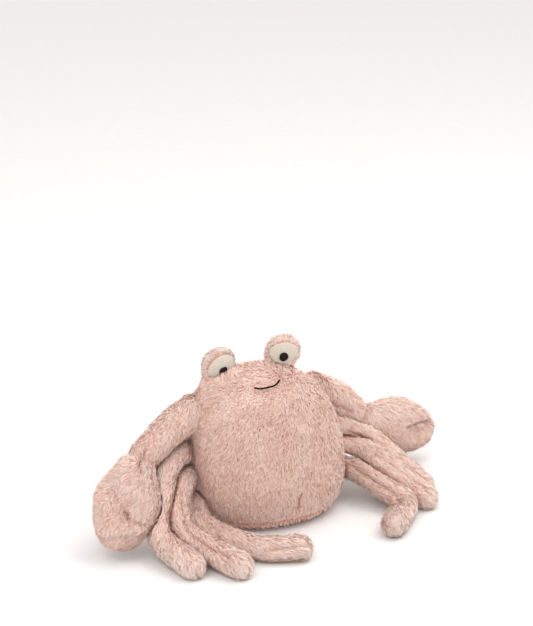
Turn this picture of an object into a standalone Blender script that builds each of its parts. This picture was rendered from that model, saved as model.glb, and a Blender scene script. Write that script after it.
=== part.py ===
"""A plush crab that sits on its flat base. Three pile fabric panels are sewn round a fibre filling, and
padded arms with claws, six floppy legs and two eye lobes are sewn into the seams. Metres, +Z up. The
origin is the middle of the flat underside, the crab looks along -Y, and its own left is +X."""

from math import cos, pi, radians, sin

import bpy
from mathutils import Matrix, Vector

# Clearance between pieces that touch, a little more round the claws, and the surface that the crab sits on
GAP = 0.0003
CLAW_GAP = 0.0004
FLOOR = 0.0

# Body: an egg, flat underneath, whose top leans to the crab's right
BODY_HEIGHT = 0.160
BODY_HALF_WIDTH = 0.082
BODY_FRONT_DEPTH = 0.066
BODY_BACK_DEPTH = 0.058
BODY_WIDEST_HEIGHT = 0.056
BODY_LEAN = 0.019
BODY_SQUARENESS = 2.2
SHOULDER_SQUARENESS = 2.4
CROWN_SQUARENESS = 1.9
BASE_SQUARENESS = 2.4
BASE_FLAT_HALF_WIDTH = 0.056
BASE_FLAT_FRONT_DEPTH = 0.046
BASE_FLAT_BACK_DEPTH = 0.039
BASE_SEAM_HEIGHT = 0.013
SIDE_SEAM_SETBACK = 0.012
FABRIC_THICKNESS = 0.003

# Arms: padded sleeves from the side seams. Each point is out, forward and up from the root
ARM_ROOT_HEIGHT = 0.118
ARM_ROOT_HALF_HEIGHT = 0.020
ARM_ROOT_HALF_THICKNESS = 0.018
ARM_WRIST_HALF_SIZE = 0.0155
ARM_ROUTES = {
    "right": ((0.020, 0.011, -0.007), (0.046, 0.019, -0.022), (0.064, 0.025, -0.034)),
    "left": ((0.022, -0.013, -0.019), (0.041, -0.018, -0.036), (0.061, -0.021, -0.055)),
}

# Claws: flat padded mitts that start at the end of the sleeve, with a slit between the two pincers.
# A heading runs from wrist to tip and a spread runs across the mitt, both as out, forward and up.
CLAW_LENGTHS = {"right": 0.083, "left": 0.094}
CLAW_HALF_WIDTHS = {"right": 0.036, "left": 0.034}
CLAW_HALF_THICKNESS = 0.023
CLAW_WRIST_HALF_WIDTH = 0.018
CLAW_OVERLAP = 0.008
CLAW_HEADINGS = {"right": (0.034, 0.024, -0.075), "left": (0.084, -0.012, -0.033)}
CLAW_SPREADS = {"right": (-0.906, 0.423, 0.0), "left": (0.0, 0.0, 1.0)}
SLIT_ROOTS = {"right": (0.048, -0.003), "left": (0.062, -0.003)}
SLIT_MOUTHS = {"right": (0.060, 0.038), "left": (0.100, 0.002)}
SLIT_WIDTH = 0.0035
SLIT_RUN_ON = 0.003
DIMPLE_RADIUS = 0.009
DIMPLE_DEPTH = 0.007
CLAW_FULL_SHARE = 0.5
CLAW_TIP_SQUARENESS = 2.6
CLAW_WRIST_SQUARENESS = 12.0

# Legs: floppy tubes. Each point is out and forward from the root, and up from where a leg lies on the floor
LEG_RADIUS = 0.0118
FOOT_RADIUS = 0.0128
LEG_ROOT_HEIGHTS = {"upper": 0.082, "middle": 0.058, "lower": 0.033}
LEG_ROUTES = {
    "right": {
        "upper": ((0.024, 0.021, 0.063), (0.041, 0.043, 0.038), (0.051, 0.062, 0.010), (0.038, 0.107, 0.0)),
        "middle": ((0.019, 0.034, 0.040), (0.030, 0.058, 0.027), (0.026, 0.073, 0.008), (0.0, 0.128, 0.0)),
        "lower": ((0.008, 0.041, 0.013), (0.0, 0.065, 0.003), (-0.026, 0.106, 0.0), (-0.062, 0.122, 0.0)),
    },
    "left": {
        "upper": ((0.032, -0.006, 0.048), (0.057, 0.012, 0.024), (0.071, 0.033, 0.008), (0.078, 0.046, 0.0)),
        "middle": ((0.021, 0.003, 0.036), (0.036, 0.038, 0.026), (0.055, 0.054, 0.008), (0.063, 0.074, 0.0)),
        "lower": ((0.012, 0.030, 0.018), (0.026, 0.062, 0.009), (0.039, 0.080, 0.0), (0.006, 0.116, 0.0)),
    },
}
ROOT_INSET = 0.012

# Eyes: half-round lobes on the top seam, felt ovals on their fronts and round stitched pupils.
# The places of ovals and pupils are across and up from the middle of their lobe.
LOBE_HALF_WIDTHS = {"right": 0.0185, "left": 0.0195}
LOBE_HALF_HEIGHTS = {"right": 0.0155, "left": 0.0185}
LOBE_HALF_THICKNESS = 0.0115
LOBE_SPREAD = 0.0345
LOBE_RISE = 0.009
LOBE_ROLLS = {"right": radians(-26.0), "left": radians(3.0)}
PATCH_HALF_WIDTH = 0.0145
PATCH_HALF_HEIGHT = 0.0105
PATCH_THICKNESS = 0.0012
PATCH_SEAT = 0.0005
PATCH_PLACES = {"right": (0.0, 0.0), "left": (-0.003, 0.003)}
PUPIL_RADIUS = 0.0042
PUPIL_THICKNESS = 0.0010
PUPIL_PLACES = {"right": (-0.0010, -0.0036), "left": (-0.0050, 0.0)}

# Smile: a thread laid on the front panel. Each point is across and up from the middle of the smile
SMILE_OFFSET = 0.0015
SMILE_BELOW_CROWN = 0.015
SMILE_ROUTE = (
    (-0.0138, -0.0002), (-0.009, -0.0014), (-0.003, -0.0015), (0.004, -0.0012), (0.0095, -0.0003),
    (0.014, 0.0018),
)
THREAD_RADIUS = 0.0008

# Facets: how finely the curved faces are divided
BODY_SIDES = 36
BODY_LOWER_RINGS = 5
BODY_UPPER_RINGS = 10
LIMB_SIDES = 12
LIMB_STEPS = 4
CAP_RINGS = 3
CLAW_SIDES = 18
CLAW_RINGS = 12
LOBE_SIDES = 20
LOBE_RINGS = 10
PATCH_RINGS = 4
PUPIL_SIDES = 12
PUPIL_RINGS = 2
THREAD_SIDES = 6
THREAD_STEPS = 3

# Colours in linear light, with the roughness of pile, felt and thread
PILE_COLOUR = (0.70, 0.48, 0.41, 1.0)
FELT_COLOUR = (0.79, 0.68, 0.60, 1.0)
THREAD_COLOUR = (0.020, 0.010, 0.011, 1.0)
STUFFING_COLOUR = (0.85, 0.84, 0.82, 1.0)
PILE_ROUGHNESS = 0.95
FELT_ROUGHNESS = 0.9
THREAD_ROUGHNESS = 0.6


def clear_scene():
    for thing in list(bpy.data.objects):
        bpy.data.objects.remove(thing, do_unlink=True)


def material(name, colour, roughness):
    made = bpy.data.materials.new(name)
    made.use_nodes = True
    shader = made.node_tree.nodes["Principled BSDF"]
    shader.inputs["Base Color"].default_value = colour
    shader.inputs["Roughness"].default_value = roughness
    shader.inputs["Metallic"].default_value = 0.0
    return made


def mesh_object(name, points, faces, surface=None):
    mesh = bpy.data.meshes.new(name)
    mesh.from_pydata([tuple(point) for point in points], [], faces)
    mesh.shade_smooth()
    made = bpy.data.objects.new(name, mesh)
    bpy.context.scene.collection.objects.link(made)
    if surface:
        mesh.materials.append(surface)
    return made


def as_cutter(made):
    made.hide_render = True
    made.display_type = "WIRE"
    return made


def boolean(target, cutter, operation="DIFFERENCE"):
    """Cuts target by cutter, or keeps what they share."""
    step = target.modifiers.new(cutter.name, "BOOLEAN")
    step.operation = operation
    step.solver = "EXACT"
    step.object = cutter


def loft(rings, first_pole, last_pole):
    """Closes a stack of equal rings into one skin with a pole at each end."""
    sides = len(rings[0])
    points = [first_pole] + [point for ring in rings for point in ring] + [last_pole]
    last = len(points) - 1
    faces = []
    for side in range(sides):
        after = (side + 1) % sides
        faces.append((0, 1 + after, 1 + side))
        for ring in range(len(rings) - 1):
            low = 1 + ring * sides
            high = low + sides
            faces.append((low + side, low + after, high + after, high + side))
        top = 1 + (len(rings) - 1) * sides
        faces.append((last, top + side, top + after))
    return points, faces


def power(value, exponent):
    """A signed power, which keeps the sign of its value."""
    size = abs(value) ** exponent
    return size if value >= 0 else -size


def quarter(share, squareness):
    """Height of a quarter superellipse over its base, from 1 at share 0 to 0 at share 1."""
    return max(0.0, 1.0 - abs(share) ** squareness) ** (1.0 / squareness)


def body_lean(z):
    share = min(1.0, max(0.0, z / BODY_HEIGHT))
    return -BODY_LEAN * share * share


def body_reach(z, widest, flat, top_squareness):
    """How far the body reaches from its middle at height z, in one direction."""
    if z < BODY_WIDEST_HEIGHT:
        share = (BODY_WIDEST_HEIGHT - z) / BODY_WIDEST_HEIGHT
        return flat + (widest - flat) * quarter(share, BASE_SQUARENESS)
    share = (z - BODY_WIDEST_HEIGHT) / (BODY_HEIGHT - BODY_WIDEST_HEIGHT)
    return widest * quarter(share, top_squareness)


def body_half_width(z):
    return body_reach(z, BODY_HALF_WIDTH, BASE_FLAT_HALF_WIDTH, SHOULDER_SQUARENESS)


def body_depth(z, front):
    if front:
        return body_reach(z, BODY_FRONT_DEPTH, BASE_FLAT_FRONT_DEPTH, CROWN_SQUARENESS)
    return body_reach(z, BODY_BACK_DEPTH, BASE_FLAT_BACK_DEPTH, CROWN_SQUARENESS)


def body_point(z, angle):
    """The point of the body's skin at height z and an angle round it."""
    across = power(cos(angle), 2.0 / BODY_SQUARENESS)
    along = power(sin(angle), 2.0 / BODY_SQUARENESS)
    depth = body_depth(z, along < 0)
    return Vector((body_lean(z) + body_half_width(z) * across, depth * along, z))


def body_front(x, z):
    """How far forward the front panel lies at a place across it and a height."""
    share = min(1.0, abs(x - body_lean(z)) / body_half_width(z))
    return -body_depth(z, True) * quarter(share, BODY_SQUARENESS)


def front_panel_place(x, z):
    """A point of the front panel's skin, and the direction straight out of it."""
    step = FABRIC_THICKNESS / 2
    slope_across = (body_front(x + step, z) - body_front(x - step, z)) / (2 * step)
    slope_up = (body_front(x, z + step) - body_front(x, z - step)) / (2 * step)
    return Vector((x, body_front(x, z), z)), Vector((slope_across, -1.0, slope_up)).normalized()


def body_heights():
    """Ring heights that crowd towards the base and the crown, where the skin turns fastest."""
    lower_turns = [pi / 2 * step / BODY_LOWER_RINGS for step in range(BODY_LOWER_RINGS)]
    upper_turns = [pi / 2 * step / BODY_UPPER_RINGS for step in range(BODY_UPPER_RINGS)]
    upper_height = BODY_HEIGHT - BODY_WIDEST_HEIGHT
    lower = [BODY_WIDEST_HEIGHT * (1.0 - cos(turn)) for turn in lower_turns]
    upper = [BODY_WIDEST_HEIGHT + upper_height * sin(turn) for turn in upper_turns]
    return lower + upper


def body_skin(name, grow, surface=None):
    """The body's closed skin, moved out by grow, or in where it is negative."""
    low = -grow
    high = BODY_HEIGHT + grow
    rings = []
    for z in body_heights():
        place = low + (high - low) * z / BODY_HEIGHT
        ring = []
        for side in range(BODY_SIDES):
            angle = 2 * pi * side / BODY_SIDES
            point = body_point(z, angle)
            outward = Vector((cos(angle), sin(angle)))
            ring.append(Vector((point.x + grow * outward.x, point.y + grow * outward.y, place)))
        rings.append(ring)
    bottom = Vector((body_lean(0.0), 0.0, low))
    top = Vector((body_lean(BODY_HEIGHT), 0.0, high))
    points, faces = loft(rings, bottom, top)
    return mesh_object(name, points, faces, surface)


def seam_place(z):
    """How far back the seam between front and back panel lies. It runs from the crown down both sides."""
    return SIDE_SEAM_SETBACK * (1.0 - z / BODY_HEIGHT)


def block(name, low, high, front_leans=False, back_leans=False):
    """A cutter that fills the box between two corners. A face that leans follows the side seam."""
    points = []
    for z in (low[2], high[2]):
        front = low[1] + (seam_place(z) if front_leans else 0.0)
        back = high[1] + (seam_place(z) if back_leans else 0.0)
        points += [Vector((x, y, z)) for y in (front, back) for x in (low[0], high[0])]
    faces = [(0, 2, 3, 1), (4, 5, 7, 6), (0, 1, 5, 4), (2, 6, 7, 3), (0, 4, 6, 2), (1, 3, 7, 5)]
    return as_cutter(mesh_object(name, points, faces))


def body_panels(pile):
    """The front, back and base panels: one hollow skin, parted at the side seams and the base seam."""
    hollow = as_cutter(body_skin("body_hollow", -FABRIC_THICKNESS))
    wide = 2 * BODY_HALF_WIDTH
    high = 2 * BODY_HEIGHT
    over_seam = BASE_SEAM_HEIGHT + GAP / 2
    under_seam = BASE_SEAM_HEIGHT - GAP / 2
    front = block("front_region", (-wide, -wide, over_seam), (wide, -GAP / 2, high), back_leans=True)
    back = block("back_region", (-wide, GAP / 2, over_seam), (wide, wide, high), front_leans=True)
    base = block("base_region", (-wide, -wide, FLOOR - high), (wide, wide, under_seam))
    for name, region in (("body_front_panel", front), ("body_back_panel", back), ("body_base_panel", base)):
        panel = body_skin(name, 0.0, pile)
        boolean(panel, region, "INTERSECT")
        boolean(panel, hollow)


def smooth_route(route, steps):
    """Points on a smooth curve through a route, with steps points between each pair."""
    ends = [route[0] * 2 - route[1]] + list(route) + [route[-1] * 2 - route[-2]]
    points = []
    for first in range(1, len(ends) - 2):
        before, start, end, after = ends[first - 1 : first + 3]
        for step in range(steps):
            share = step / steps
            points.append(
                0.5
                * (
                    2 * start
                    + (end - before) * share
                    + (2 * before - 5 * start + 4 * end - after) * share**2
                    + (3 * start - before - 3 * end + after) * share**3
                )
            )
    return points + [route[-1]]


def tube(name, route, sizes, grow=0.0, surface=None, sides=LIMB_SIDES, steps=LIMB_STEPS):
    """A padded tube with round ends. sizes are its half height and half thickness at its two ends."""
    middle = smooth_route(route, steps)
    directions = []
    for place in range(len(middle)):
        ahead = middle[min(place + 1, len(middle) - 1)]
        behind = middle[max(place - 1, 0)]
        directions.append((ahead - behind).normalized())
    turns = [pi / 2 * (step + 0.5) / CAP_RINGS for step in range(CAP_RINGS)]
    spans = [(0, -cos(turn), sin(turn)) for turn in turns]
    spans += [(place, 0.0, 1.0) for place in range(len(middle))]
    spans += [(len(middle) - 1, cos(turn), sin(turn)) for turn in reversed(turns)]
    (first_high, first_thick), (last_high, last_thick) = sizes
    sideways = Vector((0.0, 0.0, 1.0)).cross(directions[0])
    rings = []
    for place, reach, scale in spans:
        share = place / (len(middle) - 1)
        high = first_high + (last_high - first_high) * share + grow
        thick = first_thick + (last_thick - first_thick) * share + grow
        heading = directions[place]
        sideways = (sideways - heading * sideways.dot(heading)).normalized()
        upwards = heading.cross(sideways)
        centre = middle[place] + heading * reach * thick
        ring = []
        for side in range(sides):
            angle = 2 * pi * side / sides
            ring.append(centre + (sideways * cos(angle) * thick + upwards * sin(angle) * high) * scale)
        rings.append(ring)
    first_pole = middle[0] - directions[0] * (first_thick + grow)
    last_pole = middle[-1] + directions[-1] * (last_thick + grow)
    points, faces = loft(rings, first_pole, last_pole)
    return mesh_object(name, points, faces, surface)


def sign(side):
    """The crab's right is -X and its left is +X."""
    return -1.0 if side == "right" else 1.0


def outwards(side, offset):
    """An offset given as out, forward and up, in the crab's frame."""
    out, forward, up = offset
    return Vector((sign(side) * out, -forward, up))


def side_root(side, z):
    """Where a limb is sewn in: the side seam at a height."""
    return Vector((body_lean(z) + sign(side) * body_half_width(z), seam_place(z), z))


def arm_route(side):
    root = side_root(side, ARM_ROOT_HEIGHT)
    inside = root + outwards(side, (-ROOT_INSET, 0.0, 0.0))
    return [inside] + [root + outwards(side, offset) for offset in ARM_ROUTES[side]]


def arm(side, grow=0.0, surface=None):
    sizes = (
        (ARM_ROOT_HALF_HEIGHT, ARM_ROOT_HALF_THICKNESS),
        (ARM_WRIST_HALF_SIZE, ARM_WRIST_HALF_SIZE),
    )
    return tube("arm_" + side, arm_route(side), sizes, grow, surface)


def leg(side, rank, grow=0.0, surface=None):
    root = side_root(side, LEG_ROOT_HEIGHTS[rank])
    route = [root + outwards(side, (-ROOT_INSET, 0.0, 0.0))]
    for out, forward, up in LEG_ROUTES[side][rank]:
        place = root + outwards(side, (out, forward, 0.0))
        route.append(Vector((place.x, place.y, FLOOR + LEG_RADIUS + up)))
    sizes = ((LEG_RADIUS, LEG_RADIUS), (FOOT_RADIUS, FOOT_RADIUS))
    return tube(f"leg_{side}_{rank}", route, sizes, grow, surface)


def claw_frame(side):
    """Where the mitt starts, and its directions from wrist to tip, across and through."""
    along = outwards(side, CLAW_HEADINGS[side]).normalized()
    across = outwards(side, CLAW_SPREADS[side])
    across = (across - along * across.dot(along)).normalized()
    through = along.cross(across)
    start = arm_route(side)[-1] - along * CLAW_OVERLAP
    return start, along, across, through


def claw(side, grow=0.0, surface=None):
    """The mitt: narrow at the wrist, full over the palm and round at the tip."""
    start, along, across, through = claw_frame(side)
    length = CLAW_LENGTHS[side] + CLAW_OVERLAP
    fullest = CLAW_HALF_WIDTHS[side]
    rings = []
    for step in range(1, CLAW_RINGS):
        share = (1.0 - cos(pi * step / CLAW_RINGS)) / 2
        swell = min(1.0, share / CLAW_FULL_SHARE)
        swell = swell * swell * (3 - 2 * swell)
        round_tip = quarter(share, CLAW_TIP_SQUARENESS)
        round_wrist = quarter(1.0 - share, CLAW_WRIST_SQUARENESS)
        wide = CLAW_WRIST_HALF_WIDTH + (fullest - CLAW_WRIST_HALF_WIDTH) * swell
        thick = CLAW_WRIST_HALF_WIDTH + (CLAW_HALF_THICKNESS - CLAW_WRIST_HALF_WIDTH) * swell
        wide = wide * round_tip * round_wrist + grow
        thick = thick * round_tip * round_wrist + grow
        centre = start + along * (share * (length + 2 * grow) - grow)
        ring = []
        for corner in range(CLAW_SIDES):
            angle = 2 * pi * corner / CLAW_SIDES
            ring.append(centre + across * cos(angle) * wide + through * sin(angle) * thick)
        rings.append(ring)
    points, faces = loft(rings, start - along * grow, start + along * (length + grow))
    return mesh_object("claw_" + side, points, faces, surface)


def slit(side):
    """A wedge that parts the pincers. It is widest at its mouth and runs on past the middle of the dimples."""
    start, along, across, through = claw_frame(side)
    wrist = start + along * CLAW_OVERLAP
    root, mouth = SLIT_ROOTS[side], SLIT_MOUTHS[side]
    outer = wrist + along * mouth[0] + across * mouth[1]
    inner = wrist + along * root[0] + across * root[1]
    inner += (inner - outer).normalized() * SLIT_RUN_ON
    apart = through.cross(outer - inner).normalized() * SLIT_WIDTH / 2
    deep = through * CLAW_HALF_THICKNESS * 2
    corners = (inner, outer - apart, outer + apart)
    points = [corner - deep for corner in corners] + [corner + deep for corner in corners]
    faces = [(0, 2, 1), (3, 4, 5), (0, 1, 4, 3), (1, 2, 5, 4), (2, 0, 3, 5)]
    return as_cutter(mesh_object("slit_" + side, points, faces))


def ellipsoid(name, centre, axes, sides, rings, surface=None):
    """An ellipsoid whose poles lie on its third axis. Each axis is a vector as long as its half size."""
    first, second, third = axes
    stack = []
    for step in range(1, rings):
        tilt = pi * step / rings
        ring = []
        for side in range(sides):
            angle = 2 * pi * side / sides
            ring.append(centre - third * cos(tilt) + (first * cos(angle) + second * sin(angle)) * sin(tilt))
        stack.append(ring)
    points, faces = loft(stack, centre - third, centre + third)
    return mesh_object(name, points, faces, surface)


def dimples(side):
    """Two hollows at the root of the slit, one on each face, where a stitch pulls the mitt in."""
    start, along, across, through = claw_frame(side)
    wrist = start + along * CLAW_OVERLAP
    inner, aside = SLIT_ROOTS[side]
    made = []
    for face in (-1.0, 1.0):
        centre = wrist + along * inner + across * aside + through * face * CLAW_HALF_THICKNESS
        axes = (along * DIMPLE_RADIUS, across * DIMPLE_RADIUS, through * DIMPLE_DEPTH)
        made.append(as_cutter(ellipsoid("dimple", centre, axes, LIMB_SIDES, LOBE_RINGS)))
    return made


def lobe_frame(side):
    """The middle of an eye lobe on the top seam, and its directions across, up and forward."""
    share = LOBE_SPREAD / BODY_HALF_WIDTH
    seam = BODY_WIDEST_HEIGHT + (BODY_HEIGHT - BODY_WIDEST_HEIGHT) * quarter(share, SHOULDER_SQUARENESS)
    middle = Vector((body_lean(seam) + sign(side) * LOBE_SPREAD, 0.0, seam + LOBE_RISE))
    turn = Matrix.Rotation(LOBE_ROLLS[side], 3, "Y")
    return middle, turn @ Vector((1.0, 0.0, 0.0)), turn @ Vector((0.0, 0.0, 1.0)), Vector((0.0, -1.0, 0.0))


def lobe(side, surface):
    middle, across, upwards, forward = lobe_frame(side)
    half_width, half_height = LOBE_HALF_WIDTHS[side], LOBE_HALF_HEIGHTS[side]
    axes = (across * half_width, upwards * half_height, -forward * LOBE_HALF_THICKNESS)
    return ellipsoid("eye_lobe_" + side, middle, axes, LOBE_SIDES, LOBE_RINGS, surface)


def lobe_cover(name, side, place, reach, seat, thickness, facets, surface):
    """An oval layer that follows the front of a lobe, from seat to seat plus thickness off its surface.

    Its place is across and up from the middle of the lobe.
    """
    middle, across, upwards, forward = lobe_frame(side)
    aside, rise = place
    half_width, half_height = reach
    sides, steps = facets
    lobe_width, lobe_height = LOBE_HALF_WIDTHS[side], LOBE_HALF_HEIGHTS[side]

    def on_front(sideways, height, grow):
        share = (sideways / (lobe_width + grow)) ** 2 + (height / (lobe_height + grow)) ** 2
        out = (LOBE_HALF_THICKNESS + grow) * max(0.0, 1.0 - share) ** 0.5
        return middle + across * sideways + upwards * height + forward * out

    def ring(share, grow):
        angles = [2 * pi * place / sides for place in range(sides)]
        wide, high = half_width * share, half_height * share
        return [on_front(cos(angle) * wide + aside, sin(angle) * high + rise, grow) for angle in angles]

    low, high = seat, seat + thickness
    shares = [step / steps for step in range(1, steps + 1)]
    rings = [ring(share, low) for share in shares] + [ring(share, high) for share in reversed(shares)]
    points, faces = loft(rings, on_front(aside, rise, low), on_front(aside, rise, high))
    return mesh_object(name, points, faces, surface)


def eye(side, body_room, felt, thread):
    """The felt oval and the stitched pupil on it, both trimmed where the body's fabric meets the lobe."""
    oval = (PATCH_HALF_WIDTH, PATCH_HALF_HEIGHT)
    oval_facets = (LOBE_SIDES, PATCH_RINGS)
    place = PATCH_PLACES[side]
    patch = lobe_cover("eye_patch_" + side, side, place, oval, PATCH_SEAT, PATCH_THICKNESS, oval_facets, felt)
    boolean(patch, body_room)
    dot = (PUPIL_RADIUS, PUPIL_RADIUS)
    dot_facets = (PUPIL_SIDES, PUPIL_RINGS)
    seat = PATCH_SEAT + PATCH_THICKNESS + GAP
    place = PUPIL_PLACES[side]
    lobe_cover("pupil_" + side, side, place, dot, seat, PUPIL_THICKNESS, dot_facets, thread)


def smile(surface):
    """The stitched smile, which lies on the front panel."""
    height = BODY_HEIGHT - SMILE_BELOW_CROWN
    route = []
    for across, up in SMILE_ROUTE:
        skin, outward = front_panel_place(body_lean(height) + SMILE_OFFSET + across, height + up)
        route.append(skin + outward * (GAP + THREAD_RADIUS))
    size = (THREAD_RADIUS, THREAD_RADIUS)
    return tube("smile_thread", route, (size, size), 0.0, surface, THREAD_SIDES, THREAD_STEPS)


def room_of(made):
    """Turns a piece that was grown by the gap into the cutter that keeps its neighbours off it."""
    made.name = "room_of_" + made.data.name
    return as_cutter(made)


def main():
    clear_scene()
    pile = material("pile", PILE_COLOUR, PILE_ROUGHNESS)
    felt = material("felt", FELT_COLOUR, FELT_ROUGHNESS)
    thread = material("thread", THREAD_COLOUR, THREAD_ROUGHNESS)
    stuffing = material("stuffing", STUFFING_COLOUR, PILE_ROUGHNESS)

    body_panels(pile)
    body_skin("body_stuffing", -FABRIC_THICKNESS - GAP, stuffing)
    body_room = room_of(body_skin("body", GAP))
    wide = max(CLAW_LENGTHS.values()) + 2 * BODY_HALF_WIDTH
    under_floor = block("under_floor", (-wide, -wide, FLOOR - BODY_HEIGHT), (wide, wide, FLOOR))

    for side in ("right", "left"):
        mitt = claw(side, 0.0, pile)
        boolean(mitt, slit(side))
        for hollow in dimples(side):
            boolean(mitt, hollow)
        boolean(mitt, body_room)
        boolean(mitt, under_floor)
        claw_room = room_of(claw(side, CLAW_GAP))
        sleeve = arm(side, 0.0, pile)
        boolean(sleeve, body_room)
        boolean(sleeve, claw_room)
        nearby = [body_room, claw_room, room_of(arm(side, GAP)), under_floor]
        for rank in LEG_ROOT_HEIGHTS:
            limb = leg(side, rank, 0.0, pile)
            for other in nearby:
                boolean(limb, other)
            nearby.append(room_of(leg(side, rank, GAP)))
        boolean(lobe(side, pile), body_room)
        eye(side, body_room, felt, thread)
    smile(thread)


if __name__ == "__main__":
    main()
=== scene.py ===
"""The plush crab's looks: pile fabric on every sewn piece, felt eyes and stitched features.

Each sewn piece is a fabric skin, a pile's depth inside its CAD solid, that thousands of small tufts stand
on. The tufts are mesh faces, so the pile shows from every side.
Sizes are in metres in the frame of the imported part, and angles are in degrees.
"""

import heapq
import math

import bmesh
import bpy
import numpy as np
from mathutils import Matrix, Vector, noise
from mathutils.bvhtree import BVHTree
from mathutils.kdtree import KDTree


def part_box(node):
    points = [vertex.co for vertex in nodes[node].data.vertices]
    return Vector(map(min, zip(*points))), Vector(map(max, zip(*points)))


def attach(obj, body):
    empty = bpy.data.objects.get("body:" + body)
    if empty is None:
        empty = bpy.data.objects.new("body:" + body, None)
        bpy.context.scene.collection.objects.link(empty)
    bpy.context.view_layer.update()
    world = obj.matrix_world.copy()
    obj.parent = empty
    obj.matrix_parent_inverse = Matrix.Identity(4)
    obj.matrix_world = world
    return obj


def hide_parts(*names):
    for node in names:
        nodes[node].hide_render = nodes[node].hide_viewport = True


# Colours: pile and felt from dark to light, and a painted shade from root to tip: darker roots stand in for
# the shade deep in the pile
PILE_TONES = ((0.0, (0.50, 0.27, 0.205)), (0.35, (0.775, 0.525, 0.447)), (0.6, (0.885, 0.690, 0.612)),
              (1.0, (0.975, 0.885, 0.825)))
PILE_SHADES = ((0.0, (0.84, 0.58, 0.50)), (0.45, (0.98, 0.915, 0.89)), (1.0, (1.0, 1.0, 1.0)))
FELT_TONES = ((0.0, (0.58, 0.51, 0.43)), (0.5, (0.80, 0.74, 0.655)), (1.0, (0.87, 0.83, 0.76)))
FELT_SHADES = ((0.0, (0.88, 0.86, 0.84)), (1.0, (1.0, 1.0, 1.0)))

# Camera and light
CAMERA_PLACE = (-0.6872, -1.4728, 0.7979)
CAMERA_TURN = -25.0
CAMERA_DROP = 20.0
CAMERA_LENS = 103.5
FLOOR_HALF_SIZE = 6.0

# Pile fabric
PILE_DEPTH = 0.0030
LEG_PILE_DEPTH = 0.0013
LOBE_SWELLS = {"eye_lobe_right": 0.0004, "eye_lobe_left": 0.0010}
SLIT_CLOSING = 0.0022
WEAVE = 0.0020
TUFT_LENGTH = 0.0066
TUFT_WIDTH = 0.00070
LENGTH_SPREAD = 0.25
WIDTH_SPREAD = 0.3
MIDDLE_WIDTH_SHARE = 0.85
TUFT_RISE = 28.0
RISE_SPREAD = 9.0
RISE_LIMITS = (8.0, 85.0)
TIP_RISE = 5.0
TIP_SPREAD = 10.0
TIP_LIMITS = (-25.0, 85.0)
TWIST_SPREAD = 28.0
MOST_TWIST = 70.0
STRAY_SHARE = 0.10
STRAY_RISE = 26.0
OWN_SHARE = 0.4
MIDDLE_TONE = 0.55
TONE_PATCHES = ((0.12, 0.020, 1), (0.10, 0.006, 2))
TONE_SPREAD = 0.12
TONE_LIMITS = (0.03, 0.97)
CLUMP_TONE_SPREAD = 0.08
CLUMP_SHARE = 7
CLUMP_REACH = 0.004
CLUMP_MIDDLE_PULL = 0.4
# How much the painted shade of seams and creases also shortens the tufts there
DENT_TRIM = 0.45
DENT_FULL = 0.3
# Painted shade where a leg touches another: over what width, and how dark
TOUCH_WIDTH = 0.0030
TOUCH_PAINTED_SHADE = 0.28
# Painted shade in seams and creases: the width and strength of their thin dark line
LINE_WIDTH_SHARE = 0.55
LINE_PAINTED_SHADE = 1.7
FLOOR_CLEARANCE = 0.0003
BODY_SMOOTHING = 5
LEG_SMOOTHING = 3
REACH_SMOOTHING = 6
FLOW_SMOOTHING = 4
CREASE_SMOOTHING = 3
ROUTE_EVENING = (6, 3.0)
SEED = 11

# The map that colours the pile: a tuft's width on it, the heights of its five points, and the skin's place
MAP_WIDTH = 0.004
MAP_HEIGHTS = (0.10, 0.10, 0.50, 0.50, 0.96)
# The skin's place on the map: dark and at the roots' shade, a painted shade under the tufts, a little lighter
# higher up
SKIN_SHADED_TONE = (0.12, 0.30)
SKIN_SHADE = (0.02, 0.06)

# Pieces of one continuous skin, cut apart along their seams: name, number of tufts and how full
SKIN = {
    "body_front_panel": ("body_front_pile", 54000, 0.85),
    "body_back_panel": ("body_back_pile", 30000, 0.85),
    "body_base_panel": ("body_base_pile", 4000, 0.85),
    "arm_right": ("arm_right_pile", 16000, 0.7),
    "arm_left": ("arm_left_pile", 15000, 0.7),
    "claw_right": ("claw_right_pile", 27000, 0.85),
    "claw_left": ("claw_left_pile", 25000, 0.85),
    "eye_lobe_right": ("eye_lobe_right_pile", 6000, 0.8),
    "eye_lobe_left": ("eye_lobe_left_pile", 6000, 0.8),
}
LEG_TUFTS = 13000

# Legs and arms: where their pile starts, how it lies, and how it changes towards the feet
LEG_ROOT = (0.070, 0.010)
LEG_ROOT_HEIGHTS = {"upper": 0.082, "middle": 0.058, "lower": 0.033}
LEG_FLATTENING = 8.0
FOOT_START = 0.75
FOOT_REACH = 0.2
FOOT_LIFT = 3.0
FOOT_LENGTH = 0.30
# Painted light: the feet lighter than the rest of the leg
FOOT_PAINTED_LIGHT = 0.14
ARM_ROOT = (0.062, 0.004, 0.125)
ARM_DROOP = 0.35

# Filling: the skins start a little slack and are blown up by the fibre inside them
SLACK = 0.0015
FILL_PRESSURE = 4.0
FILL_FRAMES = 20
MOST_SETTLING = 0.0025
MOST_SINKING = 0.0003
CLOTH_WEAVE = 0.005
CLOTH_BODY_SMOOTHING = 4
CLOTH_LEG_SMOOTHING = 2
RESTING_HEIGHT = 0.006
PUSH_NEIGHBOURS = 4
PUSH_SMOOTHING = 4

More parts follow.
